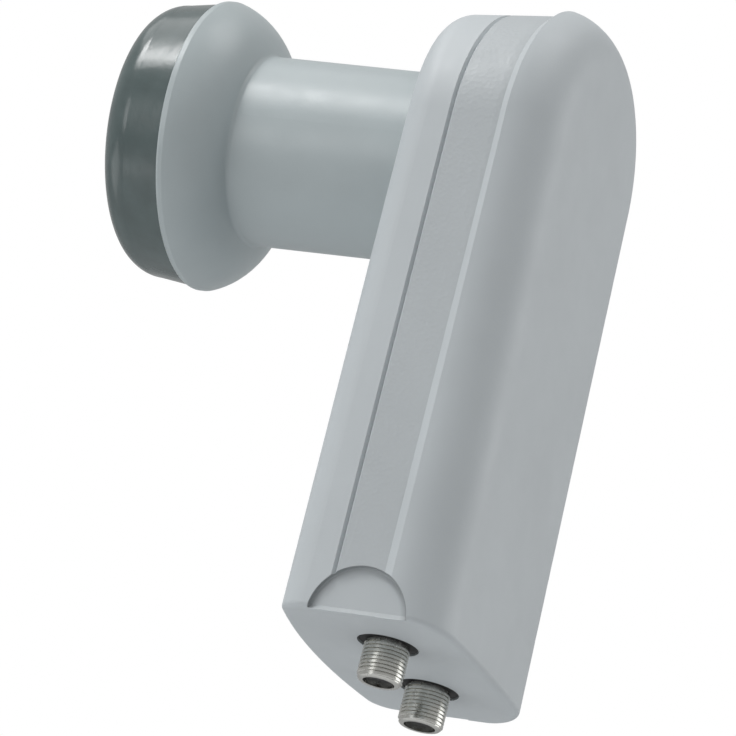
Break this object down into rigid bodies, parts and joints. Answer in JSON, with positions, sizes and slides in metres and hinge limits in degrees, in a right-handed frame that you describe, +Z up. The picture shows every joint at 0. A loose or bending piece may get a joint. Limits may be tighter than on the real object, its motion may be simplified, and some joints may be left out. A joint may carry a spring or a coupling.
{
  "type": "satellite low-noise block",
  "caption": "Satellite low-noise block: capped feed horn and round clamping neck on a tall rounded case, with threaded coaxial outputs in wells under its foot.",
  "frame": {"origin": "on the neck axis, midway along the clamping neck", "axes": "+Z up, -Y the way the horn looks, X across the case; the outputs point down"},
  "size_m": [0.0654, 0.1047, 0.152],
  "materials": {
    "cap_plastic": "moulded, semi-gloss",
    "case_plastic": "moulded, matt light grey",
    "painted_casting": "die-cast, semi-gloss grey paint",
    "bare_casting": "die-cast, bare",
    "seal_rubber": "soft",
    "screw_steel": "zinc plated",
    "nickel_plate": "nickel plated",
    "sleeve_resin": "low-loss white resin",
    "insulator_resin": "moulded, matt black",
    "contact_brass": "plated",
    "board_laminate": "low-loss laminate",
    "absorber_foam": "lossy elastomer sheet",
    "resonator_ceramic": "sintered",
    "chip_epoxy": "moulded epoxy"
  },
  "bodies": {
    "root": {"feed_cap": "cap_plastic", "cap_seal": "seal_rubber", "feed_horn": "painted_casting", "front_shell": "case_plastic", "rear_shell": "case_plastic", "case_seal": "seal_rubber", "neck_seal": "seal_rubber", "case_screws": "screw_steel", "chassis": "bare_casting", "horn_screws": "screw_steel", "circuit_board": "board_laminate", "vertical_probe": "contact_brass", "horizontal_probe": "contact_brass", "vertical_sleeve": "sleeve_resin", "horizontal_sleeve": "sleeve_resin", "shield_cover": "bare_casting", "shield_screws": "screw_steel", "tuning_screws": "contact_brass", "absorber_pads": "absorber_foam", "resonators": "resonator_ceramic", "amplifier_transistors": "chip_epoxy", "converter_chips": "chip_epoxy", "voltage_regulators": "chip_epoxy", "output_body_left": "nickel_plate", "output_insulator_left": "insulator_resin", "output_contact_left": "contact_brass", "output_washer_left": "seal_rubber", "output_body_right": "nickel_plate", "output_insulator_right": "insulator_resin", "output_contact_right": "contact_brass", "output_washer_right": "seal_rubber"}
  },
  "joints": []
}
